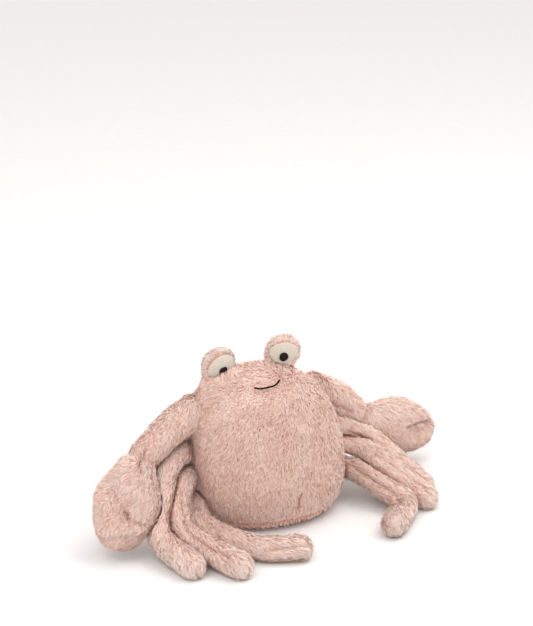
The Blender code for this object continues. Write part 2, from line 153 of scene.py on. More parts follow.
# Felt ovals, stitched pupils and the smile's thread
FILLING_WEAVE = 0.004
FILLING_INSET = 0.006
FILLING_LUMPS = (0.0015, 0.018, 3)
FELT_WEAVE = 0.0008
FELT_PATCHES = ((0.00012, 0.0022, 4), (0.00008, 0.0009, 5))
FELT_FIBRES = 2400
FIBRE_LENGTH = 0.0011
FIBRE_WIDTH = 0.00013
FIBRE_WANDER = 70.0
FIBRE_PATCH = 0.0012
STITCH_SPACING = 0.00052
STITCH_RADIUS = 0.00036
STITCH_POINTS = 9
STITCH_SEAT = 0.6
STITCH_DIP = 0.0009
STITCH_DIP_START = 0.6
STITCH_UNEVENNESS = 0.0002
STITCH_RHYTHM = 9.1
PLY_RADIUS = 0.00056
PLY_OFFSET = 0.00042
PLY_PITCH = 0.0026
SMILE_SINK = 0.0006
SMILE_SLICES = 14
SMILE_POINTS = 150
SMILE_EVENING = (9, 4.0)
SMILE_TRIM_REACH = 0.0045
SMILE_TRIM_SHARE = 0.45

# Tufts that stand up in front of each eye's felt: the middle of them, how far they reach, how much they rise
BROWS = (((-0.049, -0.0145, 0.1535), 0.0125, 1.0), ((0.0075, -0.0145, 0.1540), 0.0095, 0.8))
BROW_LIFT = 42.0
BROW_LENGTH = 0.8

# The pile of the eye lobes: bare behind the felt, parted round its rim, with painted shade there. Places are
# shares of the felt's size, 1 at its rim.
LOBE_FLATTENING = 8.0
BARE_SHARE = 0.88
LOBE_FRONT_DEPTH = 0.008
LOBE_FACING = 0.2
RIM_WIDTH = 0.35
DARK_RIM_PLACE = 1.05
DARK_RIM_WIDTH = 0.14
RIM_PAINTED_SHADE = 0.12

# How the pile of each kind of piece lies: wandering in degrees, clumping, length and lightness, a painted
# light for how light falls on that kind
HABITS = {
    "body": (30.0, 0.24, 0.76, 0.0),
    "arm": (24.0, 0.36, 1.0, 0.06),
    "claw": (28.0, 0.42, 1.08, 0.08),
    "eye": (24.0, 0.30, 0.96, 0.34),
    "leg": (19.0, 0.30, 1.0, 0.17),
}

# The body's pile runs down, away to the sides from the crown, and back where it lies level
FORWARD_COMBING = {"body_front_panel": -0.25, "body_back_panel": 0.4, "body_base_panel": 0.0}
SIDEWAYS_COMBING = 24.0
SIDEWAYS_HEIGHT = 0.16
BACKWARD_COMBING = 1.2
LEVEL_START = 0.7
LEVEL_REACH = 0.25
CROWN_PLACE = 0.045
CROWN_START = 0.120
CROWN_REACH = 0.03
CROWN_TRIM = 0.05
CROWN_FLATTENING = 13.0
# Painted light: the crown lighter, the body lighter towards its base, the claws lighter on top and darker
# below
CROWN_PAINTED_LIGHT = 0.07
BASE_PAINTED_LIGHT = 0.06
BASE_REACH = 0.07
CLAW_TOP_PAINTED_LIGHT = 0.20

# Seams between pieces of the skin: how deep they pull in, over what width, and how much painted shade darkens
# the pile along them
SEAMS = {
    ("body_front_panel", "body_base_panel"): (0.0016, 0.0024, 0.20),
    ("body_back_panel", "body_base_panel"): (0.0016, 0.0024, 0.20),
    ("body_front_panel", "body_back_panel"): (0.0003, 0.0020, 0.0),
    ("body_front_panel", "arm"): (0.0024, 0.0035, 0.12),
    ("body_back_panel", "arm"): (0.0014, 0.0035, 0.0),
    ("body_front_panel", "eye_lobe"): (0.0020, 0.0030, 0.15),
    ("body_back_panel", "eye_lobe"): (0.0020, 0.0030, 0.15),
    ("arm", "claw"): (0.0018, 0.0032, 0.10),
}
OTHER_SEAM = (0.001, 0.003, 0.1)

# Creases on each piece: route, depth, width and painted shade in the crease, which below zero is a painted
# highlight on a ridge. Less than no depth makes a ridge.
CREASES = {
    "claw_right": [
        (((-0.181, -0.036, 0.074), (-0.176, -0.0412, 0.066), (-0.170, -0.048, 0.0525)), 0.0064, 0.0095, 0.10),
        (((-0.1705, -0.0485, 0.0530), (-0.169, -0.0501, 0.0501), (-0.1675, -0.052, 0.0485)),
         0.0056, 0.0042, 0.16),
        (((-0.167, -0.053, 0.0480), (-0.1593, -0.058, 0.0415), (-0.1483, -0.0575, 0.0357)),
         0.0022, 0.0028, 0.10),
        (((-0.1889, -0.0438, 0.0329), (-0.1774, -0.0529, 0.0367), (-0.1643, -0.0577, 0.0381),
          (-0.1517, -0.0584, 0.0368)), -0.0032, 0.0036, -0.12),
    ],
    "claw_left": [
        (((0.164, 0.009, 0.0535), (0.176, 0.0126, 0.053), (0.185, 0.0159, 0.0523), (0.195, 0.0208, 0.0508),
          (0.2066, 0.0303, 0.0472)), 0.0055, 0.0026, 0.30),
        (((0.1704, 0.0105, 0.0450), (0.1828, 0.0156, 0.0440), (0.1939, 0.0181, 0.0430)),
         0.0040, 0.0065, 0.10),
    ],
    "arm_right": [
        (((-0.1376, -0.0291, 0.1027), (-0.1418, -0.0318, 0.0974), (-0.1437, -0.0364, 0.0925),
          (-0.1491, -0.042, 0.0837)), 0.0040, 0.0020, 0.55),
        (((-0.116, -0.016, 0.122), (-0.126, -0.022, 0.114), (-0.133, -0.025, 0.108)), 0.0020, 0.0045, 0.08),
    ],
    "arm_left": [
        (((0.068, -0.007, 0.1055), (0.081, -0.001, 0.094), (0.096, 0.004, 0.084)), 0.0035, 0.0028, 0.28),
        (((0.1225, 0.0167, 0.0823), (0.1164, 0.0094, 0.0796), (0.1122, 0.0075, 0.070)), 0.0040, 0.0024, 0.28),
    ],
    "body_front_panel": [
        (((-0.054, -0.0145, 0.150), (-0.048, -0.0145, 0.153), (-0.043, -0.014, 0.155)),
         -0.0052, 0.0120, -0.04),
        (((-0.060, -0.004, 0.139), (-0.072, -0.006, 0.130), (-0.084, -0.008, 0.122)), -0.0036, 0.0105, -0.04),
        (((0.009, -0.065, 0.042), (0.007, -0.0645, 0.035), (0.0057, -0.063, 0.024)), 0.0026, 0.0024, 0.30),
        (((0.0125, -0.0255, 0.1480), (0.0095, -0.026, 0.1475)), 0.0025, 0.0035, 0.14),
    ],
    "eye_lobe_right": [
        (((-0.0690, -0.0070, 0.1510), (-0.0680, -0.0060, 0.1480)), -0.0062, 0.0070, -0.04),
    ],
    "leg_right_upper": [
        (((-0.1026, -0.0195, 0.0838), (-0.1128, -0.0288, 0.0751)), 0.0015, 0.0040, 0.06),
    ],
    "leg_right_middle": [
        (((-0.105, -0.039, 0.059), (-0.113, -0.055, 0.050), (-0.112, -0.065, 0.037), (-0.1085, -0.080, 0.028),
          (-0.103, -0.100, 0.024), (-0.095, -0.115, 0.023)), 0.0045, 0.0026, 0.30),
    ],
    "leg_right_lower": [
        (((-0.0881, -0.0275, 0.0379), (-0.0905, -0.050, 0.0294), (-0.0835, -0.0673, 0.0232)),
         0.0025, 0.0030, 0.15),
        (((-0.0516, -0.1128, 0.0155), (-0.0409, -0.1163, 0.0179), (-0.0301, -0.1196, 0.0191),
          (-0.0169, -0.1223, 0.0186)), 0.0035, 0.0026, 0.20),
    ],
    "leg_left_upper": [
        (((0.0885, -0.001, 0.068), (0.101, -0.004, 0.056), (0.116, -0.018, 0.042),
          (0.131, -0.038, 0.030)), 0.0036, 0.0026, 0.36),
    ],
    "leg_left_middle": [
        (((0.105, -0.0239, 0.051), (0.1142, -0.0407, 0.0441), (0.1273, -0.0504, 0.0336),
          (0.1409, -0.0672, 0.0249)), 0.0030, 0.0026, 0.22),
    ],
    "leg_left_lower": [
        (((0.0804, -0.0173, 0.0398), (0.0867, -0.0312, 0.0357), (0.0957, -0.0526, 0.0299),
          (0.106, -0.067, 0.0242), (0.1032, -0.0863, 0.0235)), 0.0040, 0.0024, 0.30),
    ],
}

# Hollows in the solids that are smoothed away, so that creases take their place: middle and reach
HEALED = {"claw_right": ((-0.168, -0.050, 0.049), 0.017), "claw_left": ((0.172, 0.012, 0.052), 0.015)}
HEALING_ROUNDS = 40

# Studio: a warm white surround, and soft lights by name, place, size and power
SURROUND_COLOUR = (1, 0.972, 0.952, 1)
SURROUND_STRENGTH = 0.97
LIGHTS = (("key", (0.8, -0.25, 1.8), 1.3, 14), ("fill", (-0.9, -0.7, 1.8), 1.4, 10.5))
LIGHT_TARGET = (0, 0, 0.05)

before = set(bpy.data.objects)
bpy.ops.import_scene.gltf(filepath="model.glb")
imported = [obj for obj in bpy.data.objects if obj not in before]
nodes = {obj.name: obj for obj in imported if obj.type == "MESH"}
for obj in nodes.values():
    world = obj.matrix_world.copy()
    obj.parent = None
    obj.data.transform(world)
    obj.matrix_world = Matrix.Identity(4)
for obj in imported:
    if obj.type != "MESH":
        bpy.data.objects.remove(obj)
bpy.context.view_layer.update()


def coords(mesh):
    """The mesh's points as an array."""
    found = np.empty(len(mesh.vertices) * 3, np.float32)
    mesh.vertices.foreach_get("co", found)
    return found.reshape(-1, 3).astype(float)


def set_coords(mesh, points):
    """Moves the mesh's points."""
    mesh.vertices.foreach_set("co", np.asarray(points, np.float32).ravel())
    mesh.update()


def point_normals(mesh):
    """The outward direction at each of the mesh's points."""
    found = np.empty(len(mesh.vertices) * 3, np.float32)
    mesh.vertex_normals.foreach_get("vector", found)
    return found.reshape(-1, 3).astype(float)


def edge_ends(mesh):
    """The two points of each edge."""
    found = np.empty(len(mesh.edges) * 2, np.int32)
    mesh.edges.foreach_get("vertices", found)
    return found.reshape(-1, 2)


def triangles(mesh):
    """The corners of the mesh's triangles."""
    mesh.calc_loop_triangles()
    found = np.empty(len(mesh.loop_triangles) * 3, np.int32)
    mesh.loop_triangles.foreach_get("vertices", found)
    return found.reshape(-1, 3)


def unit(vectors):
    """The vectors at length one."""
    length = np.linalg.norm(vectors, axis=-1, keepdims=True)
    return vectors / np.maximum(length, 1e-9)


def linked(name, mesh):
    """An object of this name for the mesh, in the scene."""
    made = bpy.data.objects.new(name, mesh)
    bpy.context.scene.collection.objects.link(made)
    return made


def evaluated(obj):
    """A copy of the object's mesh with its modifiers applied."""
    graph = bpy.context.evaluated_depsgraph_get()
    return bpy.data.meshes.new_from_object(obj.evaluated_get(graph))


def joined(node_names):
    """One mesh of these nodes' faces, with the double points merged."""
    whole = bmesh.new()
    for name in node_names:
        whole.from_mesh(nodes[name].data)
    bmesh.ops.remove_doubles(whole, verts=whole.verts, dist=1e-6)
    mesh = bpy.data.meshes.new("joined")
    whole.to_mesh(mesh)
    whole.free()
    return mesh


def largest_shell(mesh):
    """Leaves only the largest connected part of the mesh."""
    group = np.arange(len(mesh.vertices))
    a, b = edge_ends(mesh).T
    while True:
        lowest = group.copy()
        np.minimum.at(lowest, a, group[b])
        np.minimum.at(lowest, b, group[a])
        lowest = lowest[lowest]
        if (lowest == group).all():
            break
        group = lowest
    main = np.bincount(group).argmax()
    if (group == main).all():
        return mesh
    work = bmesh.new()
    work.from_mesh(mesh)
    work.verts.ensure_lookup_table()
    strays = [work.verts[int(i)] for i in np.flatnonzero(group != main)]
    bmesh.ops.delete(work, geom=strays, context="VERTS")
    work.to_mesh(mesh)
    work.free()
    return mesh


def remeshed(mesh, weave, smoothing):
    """The mesh with even faces of this size, smoothed this many times."""
    draft = linked("draft", mesh)
    remesh = draft.modifiers.new("even", "REMESH")
    remesh.mode = "VOXEL"
    remesh.voxel_size = weave
    smooth = draft.modifiers.new("soft", "SMOOTH")
    smooth.iterations = smoothing
    smooth.factor = 0.5
    made = evaluated(draft)
    bpy.data.objects.remove(draft)
    return largest_shell(made)


def even_skin(node_names, weave, smoothing, depth):
    """An evenly meshed closed skin round these nodes, drawn in by this depth of pile.

    The nodes are first grown and meshed again, which closes narrow slits between their faces.
    """
    grown = remeshed(joined(node_names), weave, 1)
    set_coords(grown, coords(grown) + point_normals(grown) * SLIT_CLOSING)
    mesh = remeshed(grown, weave, smoothing)
    set_coords(mesh, coords(mesh) - point_normals(mesh) * (SLIT_CLOSING + depth))
    return mesh


def reach_from(mesh, starts):
    """How far along the skin each point lies from the nearest start."""
    points = coords(mesh)
    ends = edge_ends(mesh)
    lengths = np.linalg.norm(points[ends[:, 0]] - points[ends[:, 1]], axis=1)
    around = [[] for _ in range(len(points))]
    for (a, b), length in zip(ends.tolist(), lengths.tolist()):
        around[a].append((b, length))
        around[b].append((a, length))
    far = [math.inf] * len(points)
    queue = []
    for i in starts:
        far[int(i)] = 0.0
        queue.append((0.0, int(i)))
    while queue:
        length, i = heapq.heappop(queue)
        if length > far[i]:
            continue
        for j, step in around[i]:
            if length + step < far[j]:
                far[j] = length + step
                heapq.heappush(queue, (length + step, j))
    far = np.array(far)
    return np.where(np.isfinite(far), far, far[np.isfinite(far)].max())


def slope(mesh, values):
    """The direction in which the values grow fastest at each point, along the skin."""
    points = coords(mesh)
    a, b = edge_ends(mesh).T
    step = points[b] - points[a]
    push = step * ((values[b] - values[a]) / (step**2).sum(1))[:, None]
    total = np.zeros_like(points)
    np.add.at(total, a, push)
    np.add.at(total, b, push)
    return total


def along_skin(directions, normals):
    """The directions laid flat on the skin, at length one."""
    flat = directions - normals * (directions * normals).sum(1)[:, None]
    return unit(flat)


def smoothed(mesh, values, rounds):
    """The values averaged with their neighbours', this many times."""
    ends = edge_ends(mesh)
    a, b = ends.T
    count = np.bincount(ends.ravel(), minlength=len(mesh.vertices)).astype(float)
    flat = values.reshape(len(values), -1)
    for _ in range(rounds):
        total = np.zeros_like(flat)
        np.add.at(total, a, flat[b])
        np.add.at(total, b, flat[a])
        flat = 0.5 * flat + 0.5 * total / np.maximum(count, 1)[:, None]
    return flat.reshape(values.shape)


def patches(points, size, salt):
    """Smooth random values from -1 to 1 that change over this size."""
    shift = Vector((salt * 7.3, salt * 3.1, salt * 5.7))
    return np.array([noise.noise(Vector(p) / size + shift) for p in points.tolist()])


def uneven(points, kinds):
    """The sum of several kinds of patches, each given by its strength, size and salt."""
    return sum(strength * patches(points, size, salt) for strength, size, salt in kinds)


def rising(values, start, reach):
    """From nothing where the values are start, to one this far above it."""
    return np.clip((values - start) / reach, 0, 1)


def point_tree(points):
    """A search tree of these points."""
    tree = KDTree(len(points))
    for i, place in enumerate(points.tolist()):
        tree.insert(place, i)
    tree.balance()
    return tree


def evened(line, reach, width, **ends):
    """The line with each point averaged with its neighbours. ends says how the line goes on past its ends."""
    weight = np.exp(-0.5 * (np.arange(-reach, reach + 1) / width) ** 2)
    padded = np.pad(line, ((reach, reach), (0, 0)), **ends)
    return np.stack([np.convolve(padded[:, k], weight / weight.sum(), "valid") for k in range(3)], 1)


def polygons_of(mesh):
    """The mesh's points and faces as plain lists."""
    return [v.co[:] for v in mesh.vertices], [list(p.vertices) for p in mesh.polygons]


def tree_of(node_names):
    """A search tree of these nodes' faces, and which node each face is of."""
    points, faces, owner = [], [], []
    for i, name in enumerate(node_names):
        theirs, sides = polygons_of(nodes[name].data)
        faces += [[v + len(points) for v in side] for side in sides]
        owner += [i] * len(sides)
        points += theirs
    return BVHTree.FromPolygons(points, faces), owner


def nearest_node(node_names, places):
    """For each place, which of the nodes' surfaces is nearest."""
    tree, owner = tree_of(node_names)
    return np.array([owner[tree.find_nearest(place)[2]] for place in places.tolist()])


def gaps_to(places, node_names):
    """How far each place is from the surfaces of these nodes."""
    tree, _ = tree_of(node_names)
    return np.array([tree.find_nearest(place)[3] for place in places.tolist()])


def face_middles(mesh):
    """The middle of each of the mesh's faces."""
    found = np.zeros(len(mesh.polygons) * 3, np.float32)
    mesh.polygons.foreach_get("center", found)
    return found.reshape(-1, 3).astype(float)


def near_route(points, route, step=0.0008):
    """How far each point is from a route that has first been laid on these points."""
    route = np.array(route)
    samples = []
    for a, b in zip(route[:-1], route[1:]):
        count = max(2, int(np.linalg.norm(b - a) / step))
        samples.append(a + (b - a) * np.linspace(0, 1, count)[:, None])
    samples = np.concatenate(samples)
    tree = point_tree(points)
    laid = np.array([points[tree.find(place)[1]] for place in samples.tolist()])
    line = point_tree(evened(laid, *ROUTE_EVENING, mode="edge"))
    return np.array([line.find(place)[2] for place in points.tolist()])


class Pile:
    """What the tufts on one skin need to know at each of its points."""

    def __init__(self, mesh, flow, painted_shade=None):
        self.mesh = mesh
        self.points = coords(mesh)
        self.normals = point_normals(mesh)
        self.flow = along_skin(flow, self.normals)
        count = len(self.points)
        self.painted_shade = np.zeros(count) if painted_shade is None else painted_shade
        self.length = 1.0 - DENT_TRIM * rising(self.painted_shade, 0, DENT_FULL)
        # The tone: random patches, less the painted shade of seams and creases
        self.tone = MIDDLE_TONE + uneven(self.points, TONE_PATCHES) - self.painted_shade
        self.bare = np.zeros(count)
        self.lift = np.zeros(count)


def creased(mesh, name, painted_shade):
    """Pulls the skin in along the creases of this node, and adds their painted shade, or painted light on
    ridges, to what it is given.
    """
    if name in HEALED:
        middle, reach = HEALED[name]
        points = coords(mesh)
        share = np.exp(-((np.linalg.norm(points - middle, axis=1) / reach) ** 4))[:, None]
        set_coords(mesh, points * (1 - share) + smoothed(mesh, points, HEALING_ROUNDS) * share)
    outward = unit(smoothed(mesh, point_normals(mesh), CREASE_SMOOTHING))
    for route, depth, width, dark in CREASES.get(name, []):
        points = coords(mesh)
        far = near_route(points, route)
        set_coords(mesh, points - outward * (depth * falling(far, width))[:, None])
        # Painted shade in the crease, or painted light on a ridge
        painted_shade = painted_shade + line_share(far, width) * dark
    return painted_shade


def falling(far, width):
    """From one on a line to nothing, over this width to each side of it."""
    return np.exp(-((far / width) ** 2))


def line_share(far, width):
    """How much painted shade a crease or seam of this width gets: a thin dark line in a soft shade."""
    return 0.5 * falling(far, width) + 0.5 * LINE_PAINTED_SHADE * falling(far, LINE_WIDTH_SHARE * width)


def scattered(pile, count, draw):
    """Roots spread evenly over the skin: each one's triangle and its share of the three corners."""
    corners = triangles(pile.mesh)
    p = pile.points[corners]
    area = np.linalg.norm(np.cross(p[:, 1] - p[:, 0], p[:, 2] - p[:, 0]), axis=1)
    area *= 1.0 - pile.bare[corners].mean(1)
    until = np.cumsum(area)
    spots = (np.arange(count) + draw.random(count)) / count * until[-1]
    chosen = np.minimum(np.searchsorted(until, spots), len(area) - 1)
    a, b = draw.random((2, count))
    over = a + b > 1
    a[over], b[over] = 1 - a[over], 1 - b[over]
    return corners[chosen], np.stack([1 - a - b, a, b], 1)


def mixed(values, corners, share):
    """The values at each root."""
    if values.ndim == 1:
        return (values[corners] * share).sum(1)
    return (values[corners] * share[:, :, None]).sum(1)


def turned(vectors, axes, degrees):
    """The vectors turned about the axes, which are square to them."""
    angle = np.radians(degrees)[:, None]
    return vectors * np.cos(angle) + np.cross(axes, vectors) * np.sin(angle)


def tufts(pile, count, seed, length, width, wander, pull_share):
    """Five points, a tone and a skin normal for each of this many tufts."""
    draw = np.random.default_rng(seed)
    corners, share = scattered(pile, count, draw)
    root = mixed(pile.points, corners, share)
    normal = unit(mixed(pile.normals, corners, share))
    flow = along_skin(mixed(pile.flow, corners, share), normal)
    tone = mixed(pile.tone, corners, share)
    long = length * mixed(pile.length, corners, share)
    long = long * draw.uniform(1 - LENGTH_SPREAD, 1 + LENGTH_SPREAD, count)
    lean = turned(flow, normal, wander * draw.standard_normal(count))
    stray = STRAY_RISE * (draw.random(count) < STRAY_SHARE)
    lift = mixed(pile.lift, corners, share)
    rise = lift + TUFT_RISE + stray + RISE_SPREAD * draw.standard_normal(count)
    rise = np.radians(np.clip(rise, *RISE_LIMITS))[:, None]
    fall = lift + TIP_RISE + TIP_SPREAD * draw.standard_normal(count)
    fall = np.radians(np.clip(fall, *TIP_LIMITS))[:, None]
    half = long[:, None] / 2
    middle = root + half * (np.cos(rise) * lean + np.sin(rise) * normal)
    tip = middle + half * (np.cos(fall) * lean + np.sin(fall) * normal)

    centres = max(1, count // CLUMP_SHARE)
    order = draw.permutation(count)
    tree = KDTree(centres)
    for i in order[:centres].tolist():
        tree.insert(root[i].tolist(), i)
    tree.balance()
    nearest = np.array([tree.find(place)[1] for place in root.tolist()])
    near = np.linalg.norm(root - root[nearest], axis=1) < CLUMP_REACH
    pull = (pull_share * near)[:, None]
    tip = tip + (tip[nearest] - tip) * pull
    middle = middle + (middle[nearest] - middle) * pull * CLUMP_MIDDLE_PULL

    twist = np.clip(TWIST_SPREAD * draw.standard_normal(count), -MOST_TWIST, MOST_TWIST)
    across = turned(np.cross(normal, lean), lean, twist)
    side = across * (width * draw.uniform(1 - WIDTH_SPREAD, 1 + WIDTH_SPREAD, count) / 2)[:, None]
    aside = side * MIDDLE_WIDTH_SHARE
    points = np.stack([root - side, root + side, middle + aside, middle - aside, tip], 1)
    clump_tone = CLUMP_TONE_SPREAD * draw.standard_normal(count)
    tone = tone + TONE_SPREAD * draw.standard_normal(count) + clump_tone[nearest]
    return points, np.clip(tone, *TONE_LIMITS), normal


def pile_mesh(name, pile, count, seed, length=TUFT_LENGTH, width=TUFT_WIDTH, wander=22.0, pull=0.3):
    """One mesh of the skin and its tufts, with a map that says tone across and root to tip upwards."""
    points, tone, normal = tufts(pile, count, seed, length, width, wander, pull)
    lowest = [-9, -9, FLOOR_CLEARANCE]
    points = np.maximum(points, lowest)
    skin_points = np.maximum(pile.points, lowest)
    skin_faces = triangles(pile.mesh)

    first = len(skin_points) + 5 * np.arange(count)[:, None, None]
    tuft_faces = (first + np.array([[0, 2, 1], [0, 3, 2], [3, 4, 2]])).reshape(-1, 3)
    faces = np.concatenate([skin_faces, tuft_faces])
    places = np.concatenate([skin_points, points.reshape(-1, 3)])

    across = tone[:, None] + MAP_WIDTH * np.array([-1, 1, 1, -1, 0])
    up = np.broadcast_to(MAP_HEIGHTS, across.shape)
    low, high = skin_points.min(0), skin_points.max(0)
    height = ((skin_points - low) / (high - low))[:, 2]
    # Painted shade: the skin under the tufts dark, and a little lighter higher up
    skin_across = SKIN_SHADED_TONE[0] + SKIN_SHADED_TONE[1] * pile.tone
    skin_up = SKIN_SHADE[0] + SKIN_SHADE[1] * height
    skin_map = np.stack([skin_across, skin_up], 1)
    maps = np.concatenate([skin_map, np.stack([across, up], 2).reshape(-1, 2)])

    mesh = bpy.data.meshes.new(name)
    mesh.vertices.add(len(places))
    mesh.vertices.foreach_set("co", places.astype(np.float32).ravel())
    mesh.loops.add(faces.size)
    mesh.loops.foreach_set("vertex_index", faces.astype(np.int32).ravel())
    mesh.polygons.add(len(faces))
    mesh.polygons.foreach_set("loop_start", np.arange(0, faces.size, 3, dtype=np.int32))
    mesh.update(calc_edges=True)
    layer = mesh.uv_layers.new(name="OFBake")
    layer.uv.foreach_set("vector", maps[faces.ravel()].astype(np.float32).ravel())

    own = unit(np.cross(points[:, 2] - points[:, 0], points[:, 1] - points[:, 0]))
    own *= np.where((own * normal).sum(1) < 0, -1, 1)[:, None]
    shown = unit(OWN_SHARE * own + (1 - OWN_SHARE) * normal)
    normals = np.concatenate([pile.normals, np.repeat(shown, 5, axis=0)])
    mesh.polygons.foreach_set("use_smooth", np.ones(len(faces), bool))
    mesh.normals_split_custom_set_from_vertices(normals.tolist())
    return mesh


def ramp(tree, stops):
    """A colour ramp with these (place, colour) stops."""
    node = tree.nodes.new("ShaderNodeValToRGB")
    while len(node.color_ramp.elements) < len(stops):
        node.color_ramp.elements.new(0.5)
    for element, (place, colour) in zip(node.color_ramp.elements, stops):
        element.position = place
        element.color = (*colour, 1)
    return node


def multiplied(tree, first, second):
    """The colour that comes from multiplying these two colour outputs."""
    node = tree.nodes.new("ShaderNodeMix")
    node.data_type = "RGBA"
    node.blend_type = "MULTIPLY"
    sockets = {socket.name: socket for socket in node.inputs if socket.enabled}
    sockets["Factor"].default_value = 1.0
    tree.links.new(first, sockets["A"])
    tree.links.new(second, sockets["B"])
    return next(socket for socket in node.outputs if socket.enabled)


def fabric(name, roughness):
    """A new material, its node tree and its surface shader."""
    made = bpy.data.materials.new(name)
    made.use_nodes = True
    surface = made.node_tree.nodes["Principled BSDF"]
    surface.inputs["Roughness"].default_value = roughness
    surface.inputs["Specular IOR Level"].default_value = 0.2
    return made, made.node_tree, surface


def bumped(tree, surface, scale, depth):
    """Gives the surface a fine grain of this scale and depth."""
    where = tree.nodes.new("ShaderNodeTexCoord")
    grain = tree.nodes.new("ShaderNodeTexNoise")
    grain.inputs["Scale"].default_value = scale
    grain.inputs["Detail"].default_value = 4.0
    bump = tree.nodes.new("ShaderNodeBump")
    bump.inputs["Strength"].default_value = 0.6
    bump.inputs["Distance"].default_value = depth
    tree.links.new(where.outputs["Object"], grain.inputs["Vector"])
    tree.links.new(grain.outputs["Fac"], bump.inputs["Height"])
    tree.links.new(bump.outputs["Normal"], surface.inputs["Normal"])
    return grain


def pile_material(name, tones, root_shades):
    """A pile of fibres: its tone goes across the map, and a painted shade, darkest at the roots, goes root to
    tip up it.
    """
    made, tree, surface = fabric(name, 0.85)
    place = tree.nodes.new("ShaderNodeUVMap")
    place.uv_map = "OFBake"
    parts = tree.nodes.new("ShaderNodeSeparateXYZ")
    tree.links.new(place.outputs["UV"], parts.inputs["Vector"])
    tip = ramp(tree, tones)
    tree.links.new(parts.outputs["X"], tip.inputs["Fac"])
    # Painted shade: the roots darker than the tips
    shade = ramp(tree, root_shades)
    tree.links.new(parts.outputs["Y"], shade.inputs["Fac"])
    colour = multiplied(tree, tip.outputs["Color"], shade.outputs["Color"])
    tree.links.new(colour, surface.inputs["Base Color"])
    surface.inputs["Sheen Weight"].default_value = 0.25
    surface.inputs["Sheen Roughness"].default_value = 0.5
    surface.inputs["Sheen Tint"].default_value = (1.0, 0.88, 0.82, 1)
    return made


def grained_material(name, roughness, scale, depth, dark, light):
    """A material whose colour and surface vary with one fine grain."""
    made, tree, surface = fabric(name, roughness)
    grain = bumped(tree, surface, scale, depth)
    tint = ramp(tree, [(0.3, dark), (0.7, light)])
    tree.links.new(grain.outputs["Fac"], tint.inputs["Fac"])
    tree.links.new(tint.outputs["Color"], surface.inputs["Base Color"])
    return made


def finish_piece(name, mesh, material, replaced):
    """Shows the piece in place of these nodes, in its material."""
    mesh.materials.append(material)
    piece = linked(name, mesh)
    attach(piece, "root")
    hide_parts(*replaced)
    return piece


def flow_from(mesh, starts):
    """The direction away from the starts along the skin, and how far each point is from them."""
    far = smoothed(mesh, reach_from(mesh, starts), REACH_SMOOTHING)
    return smoothed(mesh, unit(slope(mesh, far)), FLOW_SMOOTHING), far


def nearest_points(mesh, place, count=30):
    """The mesh's points that are nearest to a place."""
    return np.argsort(np.linalg.norm(coords(mesh) - np.array(place), axis=1))[:count]


def cut_out(mesh, faces):
    """A mesh of only these faces, and which points of the whole it kept."""
    corners = [list(mesh.polygons[int(i)].vertices) for i in faces]
    kept, flat = np.unique(np.concatenate(corners), return_inverse=True)
    sides, at = [], 0
    for corner in corners:
        sides.append(flat[at : at + len(corner)].tolist())
        at += len(corner)
    part = bpy.data.meshes.new("part")
    part.from_pydata(coords(mesh)[kept].tolist(), [], sides)
    part.update()
    return part, kept


def kind(name):
    """The node's name without its side, as the seams name it."""
    return name.rsplit("_", 1)[0] if name.rsplit("_", 1)[1] in ("left", "right") else name


def seam_points(mesh, owner, names):
    """For each pair of pieces that meet, the points along their seam."""
    found = {}
    owners = [set() for _ in range(len(mesh.vertices))]
    for side, own in zip(mesh.polygons, owner.tolist()):
        for v in side.vertices:
            owners[v].add(own)
    for v, theirs in enumerate(owners):
        if len(theirs) > 1:
            first, second = sorted(theirs)[:2]
            found.setdefault((kind(names[first]), kind(names[second])), []).append(v)
    return found


def patch_frame(node):
    """The middle of a flat node and the directions along, across and out of it."""
    points = coords(nodes[node].data)
    middle = points.mean(0)
    _, _, axes = np.linalg.svd(points - middle, full_matrices=False)
    out = axes[2] if axes[2][1] < 0 else -axes[2]
    return middle, axes[0], np.cross(out, axes[0]), out


def leg_names():
    """The nodes of the six legs."""
    return [f"leg_{side}_{row}" for side in ("right", "left") for row in ("upper", "middle", "lower")]


def all_skins():
    """The body's skin and the six legs' skins, blown up by their filling."""
    made = {"body": even_skin([*SKIN, "body_stuffing"], WEAVE, BODY_SMOOTHING, PILE_DEPTH)}
    for name in leg_names():
        made[name] = even_skin([name], WEAVE, LEG_SMOOTHING, LEG_PILE_DEPTH)
    settle(made)
    return made


